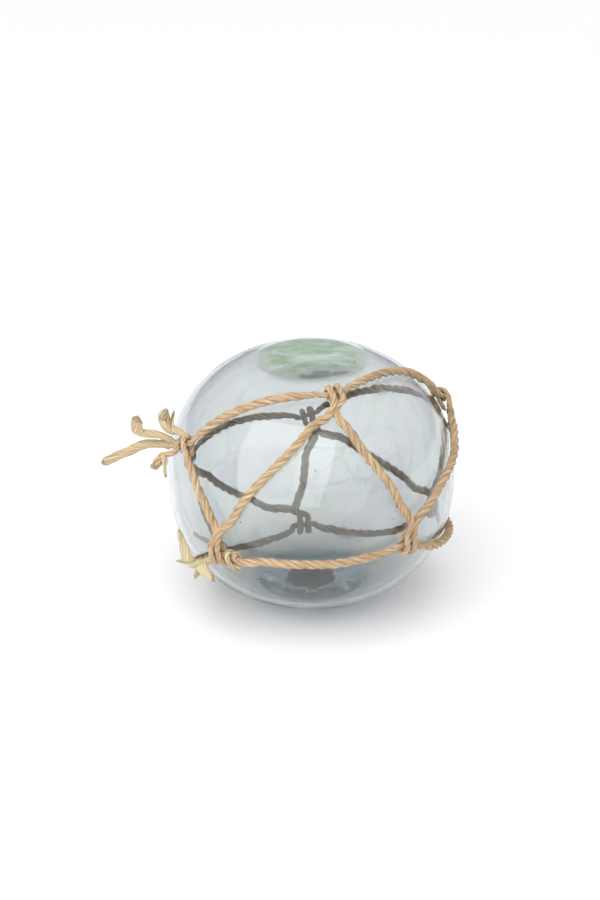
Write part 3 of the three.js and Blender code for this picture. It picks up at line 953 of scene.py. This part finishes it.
class FloatGlass(bpy.types.PropertyGroup):
    radius: FloatProperty(name="Radius", description="From the upright axis to the widest place",
                          default=(GLASS_HIGH.x - GLASS_LOW.x) / 2, unit="LENGTH")
    half_height: FloatProperty(name="Half height", description="Of the outline, without the flat",
                               default=0.113, unit="LENGTH")
    fullness: FloatProperty(name="Fullness", default=2.25,
                            description="Exponent of the outline: 2 is an ellipse, more is fuller")
    flat_radius: FloatProperty(name="Flat radius", description="Of the flat the ball rests on",
                               default=0.024, unit="LENGTH")
    wall: FloatProperty(name="Wall", description="Usual thickness of the glass",
                        default=0.0045, unit="LENGTH")
    waviness: FloatProperty(name="Waviness", description="Depth of the outside's soft waves",
                            default=0.00008, unit="LENGTH")
    seal_radius: FloatProperty(name="Seal radius", description="Of the button on top",
                               default=0.05, unit="LENGTH")
    seal_height: FloatProperty(name="Seal height", description="How far the button stands proud",
                               default=0.0018, unit="LENGTH")
    seal_thickness: FloatProperty(name="Seal thickness", description="Of the glass at the button",
                                  default=0.0065, unit="LENGTH")
    base_radius: FloatProperty(name="Base radius", description="Of the thick, lumpy base",
                               default=0.055, unit="LENGTH")
    base_thickness: FloatProperty(name="Base thickness", description="Of the glass at the base",
                                  default=0.010, unit="LENGTH")
    base_lumps: FloatProperty(name="Lumps", description="Relief inside the base and the button",
                              default=0.0016, unit="LENGTH")
    absorption: FloatProperty(name="Absorption", description="How much the glass swallows",
                              default=15.0)
    seeds: IntProperty(name="Seeds", description="Small bubbles in the wall", default=90)
    rows: IntProperty(name="Rows", description="Faces from pole to pole", default=150)
    sides: IntProperty(name="Sides", description="Faces round the ball", default=220)
    tint: FloatVectorProperty(name="Tint", description="Colour of the glass in its thickness",
                              subtype="COLOR", default=(0.40, 0.60, 0.54))
    film: FloatVectorProperty(name="Film", description="Thin film of dust on the glass",
                              subtype="COLOR", default=(0.81, 0.835, 0.825))
    mauve: FloatVectorProperty(name="Mauve", description="Faint streaks", subtype="COLOR",
                               default=(0.80, 0.77, 0.84))
    seal_green: FloatVectorProperty(name="Seal green", description="Green of the button",
                                    subtype="COLOR", default=(0.42, 0.62, 0.36))
    base_blue: FloatVectorProperty(name="Base blue", description="Blue of the thick base",
                                   subtype="COLOR", default=(0.72, 0.84, 0.88))
    grime: FloatVectorProperty(name="Grime", description="Clouds of old dirt inside",
                               subtype="COLOR", default=(0.55, 0.62, 0.58))


class FloatRope(bpy.types.PropertyGroup):
    radius: FloatProperty(name="Radius", description="Of the whole rope", default=0.00385,
                          unit="LENGTH")
    gap: FloatProperty(name="Gap", description="From rope to rope before the knots are pulled",
                       default=0.0008, unit="LENGTH")
    strands: IntProperty(name="Strands", description="Laid up into the rope", default=3)
    strand_circle: FloatProperty(name="Strand circle", default=0.51,
                                 description="Where the strands' middles run, in rope radii")
    strand_thickness: FloatProperty(name="Strand thickness", default=0.5,
                                    description="Radius of a strand, in rope radii")
    twist_length: FloatProperty(name="Twist length", description="Rope for one turn of a strand",
                                default=0.028, unit="LENGTH")
    step: FloatProperty(name="Step", description="Length of a face along the rope",
                        default=0.0017, unit="LENGTH")
    # Painted shade: this colour is the darkest fibre tone and is also painted into the gaps between
    # strands as shade.
    gap_shade_and_dark_fibre: FloatVectorProperty(name="Gaps", description="Between the strands",
                                    subtype="COLOR", default=(0.12, 0.065, 0.025))
    brown: FloatVectorProperty(name="Brown", description="Dark fibres", subtype="COLOR",
                               default=(0.27, 0.165, 0.08))
    tan: FloatVectorProperty(name="Tan", description="Most of the fibres", subtype="COLOR",
                             default=(0.40, 0.275, 0.15))
    straw: FloatVectorProperty(name="Straw", description="Pale fibres", subtype="COLOR",
                               default=(0.56, 0.445, 0.27))
    orange: FloatVectorProperty(name="Orange", description="Warm patches", subtype="COLOR",
                                default=(1.0, 0.78, 0.60))
    pale_end: FloatVectorProperty(name="Pale ends", description="Opened fibres", subtype="COLOR",
                                  default=(0.50, 0.455, 0.26))


class FloatStage(bpy.types.PropertyGroup):
    floor_size: FloatProperty(name="Floor", description="Radius of the floor", default=9.0,
                              unit="LENGTH")
    floor_colour: FloatVectorProperty(name="Floor colour", description="Pale floor",
                                      subtype="COLOR", default=(0.90, 0.90, 0.905))
    lens: FloatProperty(name="Lens", description="Focal length in millimetres", default=85.0)
    elevation: FloatProperty(name="Elevation", description="Of the camera above the ball",
                             default=math.radians(25), subtype="ANGLE")
    distance: FloatProperty(name="Distance", description="From the camera to the ball's middle",
                            default=1.85526, unit="LENGTH")
    aside: FloatVectorProperty(name="Aside", size=2, default=(0.005176, -0.010353),
                               description="How far the ball stands right of and above the middle "
                                           "of the view, as tangents")
    soft_box: FloatProperty(name="Soft box", description="Power of the soft box", default=9.0,
                            unit="POWER")
    shine: FloatProperty(name="Shine", default=80.0, unit="POWER",
                         description="Power of its reflection in the glass")
    sky: FloatProperty(name="Studio", description="Strength of the light all round", default=1.25)
    sky_high: FloatVectorProperty(name="From above", description="Colour of the light",
                                  subtype="COLOR", default=(0.99, 0.99, 1.0))
    sky_low: FloatVectorProperty(name="From the sides", description="Colour of the light",
                                 subtype="COLOR", default=(0.34, 0.32, 0.40))


# ---------------------------------------------------------------- operators

def net_of(context):
    return Net(context.scene.float_glass, context.scene.float_rope)


class FLOAT_OT_stage(bpy.types.Operator):
    """Camera, soft studio light and a plain pale floor"""

    bl_idname = "float_ball.stage"
    bl_label = "Stage"

    def execute(self, context):
        stage = context.scene.float_stage
        centre = Vector(net_of(context).ball.centre)
        self.make_camera(context, stage, centre)
        self.make_lights(context, stage, centre)
        built = bmesh.new()
        bmesh.ops.create_circle(built, cap_ends=True, segments=64, radius=stage.floor_size)
        mesh = bpy.data.meshes.new("floor")
        built.to_mesh(mesh)
        built.free()
        mesh.materials.append(floor_material(stage))
        floor = bpy.data.objects.new("floor", mesh)
        context.scene.collection.objects.link(floor)
        return {"FINISHED"}

    @staticmethod
    def make_camera(context, stage, centre):
        up = Vector((0, math.sin(stage.elevation), math.cos(stage.elevation)))
        back = Vector((0, -math.cos(stage.elevation), math.sin(stage.elevation)))
        right = Vector((1, 0, 0))
        look = (-back - right * stage.aside[0] - up * stage.aside[1]).normalized()
        side = look.cross(Vector((0, 0, 1))).normalized()
        turned = Matrix((side, side.cross(look), -look)).transposed().to_4x4()
        data = bpy.data.cameras.new("camera")
        data.lens = stage.lens
        data.sensor_width = SENSOR_WIDTH
        data.dof.use_dof = False
        data.clip_end = VIEW_FAR
        camera = bpy.data.objects.new("camera", data)
        camera.matrix_world = Matrix.Translation(centre + back * stage.distance) @ turned
        context.scene.collection.objects.link(camera)
        context.scene.camera = camera

    @staticmethod
    def make_lights(context, stage, centre):
        turn, rise = math.radians(LAMP_TURN), math.radians(LAMP_RISE)
        toward = Vector((math.cos(rise) * math.sin(turn), -math.cos(rise) * math.cos(turn),
                         math.sin(rise)))
        lamps = (("soft_box", stage.soft_box, False), ("shine", stage.shine, True))
        for name, energy, only_gloss in lamps:
            data = bpy.data.lights.new(name, "AREA")
            data.shape = "RECTANGLE"
            data.size, data.size_y = LAMP_SIZE
            data.energy = energy
            lamp = bpy.data.objects.new(name, data)
            lamp.matrix_world = (Matrix.Translation(centre + toward * LAMP_FAR)
                                 @ toward.to_track_quat("Z", "Y").to_matrix().to_4x4())
            lamp.visible_camera = False
            context.scene.collection.objects.link(lamp)
            if only_gloss:
                lamp.visible_diffuse = False
                FLOAT_OT_stage.only_in_gloss(data)

        world = bpy.data.worlds.new("studio")
        world.use_nodes = True
        tree = world.node_tree
        tree.nodes.clear()
        coords = tree.nodes.new("ShaderNodeTexCoord")
        parts = tree.nodes.new("ShaderNodeSeparateXYZ")
        join(tree, coords.outputs["Generated"], parts.inputs["Vector"])
        strength = spread(tree, parts.outputs["Z"], -0.05, 0.8)
        colour = mix_colour(tree, strength, rgb(stage.sky_low), rgb(stage.sky_high))
        sky = tree.nodes.new("ShaderNodeBackground")
        sky.inputs["Strength"].default_value = stage.sky
        join(tree, colour, sky.inputs["Color"])
        out = tree.nodes.new("ShaderNodeOutputWorld")
        join(tree, sky.outputs["Background"], out.inputs["Surface"])
        context.scene.world = world
        context.scene.view_settings.view_transform = "Standard"

    @staticmethod
    def only_in_gloss(data):
        """The lamp fades towards its rim, and lights nothing by way of a matt surface."""
        data.use_nodes = True
        tree = data.node_tree
        glow = tree.nodes["Emission"]
        place = tree.nodes.new("ShaderNodeNewGeometry")
        parts = tree.nodes.new("ShaderNodeSeparateXYZ")
        join(tree, place.outputs["Parametric"], parts.inputs["Vector"])
        strength = 1.0
        for axis in "XY":
            off = math_node(tree, "ABSOLUTE", math_node(tree, "SUBTRACT", parts.outputs[axis], 0.5))
            strength = math_node(tree, "MULTIPLY", spread(tree, off, 0.5, 0.3), strength)
        path = tree.nodes.new("ShaderNodeLightPath")
        first = math_node(tree, "LESS_THAN", path.outputs["Diffuse Depth"], 0.5)
        join(tree, math_node(tree, "MULTIPLY", first, strength), glow.inputs["Strength"])


class FLOAT_OT_glass(bpy.types.Operator):
    """The blown glass, with its sealed cavity, thick base and button"""

    bl_idname = "float_ball.glass"
    bl_label = "Glass"

    def execute(self, context):
        ball, glass = net_of(context).ball, context.scene.float_glass
        mesh = glass_mesh(ball, glass)
        mesh.materials.append(glass_material(ball, glass))
        piece = bpy.data.objects.new("float_glass", mesh)
        context.scene.collection.objects.link(piece)
        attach(piece, ROOT)
        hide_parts("glass_float")
        return {"FINISHED"}


class FLOAT_OT_net(bpy.types.Operator):
    """The rope net: upper ring, lower ring and lacing, with their loose ends"""

    bl_idname = "float_ball.net"
    bl_label = "Rope net"

    def execute(self, context):
        net, rope = net_of(context), context.scene.float_rope
        group = jute_group(rope)
        looks = [jute_material("jute rope", group, 1.0), jute_material("jute ends", group, 0.8)]
        self.upper_ring(net, rope, looks)
        self.lower_ring(net, rope, looks)
        self.lacing(net, rope, looks)
        return {"FINISHED"}

    @staticmethod
    def upper_ring(net, rope, looks):
        rng = random.Random(3)
        yarns, fibres = Yarns(12), Yarns(4)
        laid = lay_rope(yarns, rope, net.upper.route(), rng, closed=True)
        fuzz(fibres, rope, *laid, rng)
        for places in (LONG_END, CURLED_END):
            points = net.end(net.upper, places)
            route = open_end(yarns, rope, points, rng, count=8, thin=0.34, spread=0.74, tip=0.95)
            ahead = unit(route[-1] - route[-4])
            tuft(fibres, route[-1], route[-1] + ahead * 4 * MM, rng, count=60, width=3.4 * MM,
                 pale=0.4)
        finish_rope("upper_ring_rope", "upper_ring_cord", yarns, fibres, net, looks)

    @staticmethod
    def lower_ring(net, rope, looks):
        rng = random.Random(4)
        yarns, fibres = Yarns(12), Yarns(4)
        laid = lay_rope(yarns, rope, net.lower.route(), rng, closed=True)
        fuzz(fibres, rope, *laid, rng)
        lay_rope(yarns, rope, net.lower.winding(), rng)
        for places, tip in ((LOWER_END, 0.4), (LOWER_SPUR, 0.5)):
            points = net.end(net.lower, places)
            route = open_end(yarns, rope, points, rng, count=8, thin=0.38, spread=0.8, tip=tip,
                             pale=0.7)
            ahead = unit(route[-1] - route[-4])
            tuft(fibres, route[-1], route[-1] + ahead * 3 * MM, rng, width=1.5 * MM)
        for root, tip in (LOWER_BLOB, LOWER_WISP):
            root, tip = net.end(net.lower, (root, tip))
            tuft(fibres, root, tip, rng, count=60, width=3 * MM, thick=0.36 * MM)
        finish_rope("lower_ring_rope", "lower_ring_cord", yarns, fibres, net, looks)

    @staticmethod
    def lacing(net, rope, looks):
        rng = random.Random(5)
        yarns, fibres = Yarns(12), Yarns(4)
        laid = lay_rope(yarns, rope, net.lacing(), rng)
        fuzz(fibres, rope, *laid, rng)
        stub = open_end(yarns, rope, net.end(net.upper, LACING_STUB), rng, count=8, thin=0.36,
                        spread=0.8, tip=1.1, pale=0.35)
        for root, tip in ((stub[-1], UPPER_TIP), (laid[0][0], START_TIP)):
            tuft(fibres, root, net.end(net.upper, (tip,))[0], rng, count=90, width=4 * MM,
                 thick=0.36 * MM, pale=0.5)
        for places in (UPPER_WISP, START_WISP):
            open_end(yarns, rope, net.end(net.upper, places), rng, count=4, thin=0.26,
                     spread=0.36, tip=0.4, pale=0.6)
        finish_rope("lacing_rope", "lacing_cord", yarns, fibres, net, looks)


class FLOAT_PT_panel(bpy.types.Panel):
    """Sizes and colours of the float ball, and what makes its pieces"""

    bl_idname = "FLOAT_PT_panel"
    bl_label = "Glass float ball"
    bl_space_type = "VIEW_3D"
    bl_region_type = "UI"
    bl_category = "Float"

    def draw(self, context):
        scene = context.scene
        for operator, group in ((FLOAT_OT_stage, scene.float_stage),
                                (FLOAT_OT_glass, scene.float_glass),
                                (FLOAT_OT_net, scene.float_rope)):
            box = self.layout.box()
            box.operator(operator.bl_idname)
            for name in group.__annotations__:
                box.prop(group, name)


CLASSES = (FloatGlass, FloatRope, FloatStage, FLOAT_OT_stage, FLOAT_OT_glass, FLOAT_OT_net,
           FLOAT_PT_panel)
GROUPS = {"float_glass": FloatGlass, "float_rope": FloatRope, "float_stage": FloatStage}


def register():
    for each in CLASSES:
        bpy.utils.register_class(each)
    for name, group in GROUPS.items():
        setattr(bpy.types.Scene, name, PointerProperty(type=group))


def unregister():
    for name in GROUPS:
        delattr(bpy.types.Scene, name)
    for each in reversed(CLASSES):
        bpy.utils.unregister_class(each)


def main():
    register()
    bpy.ops.float_ball.stage()
    bpy.ops.float_ball.glass()
    bpy.ops.float_ball.net()


if __name__ == "__main__":
    main()
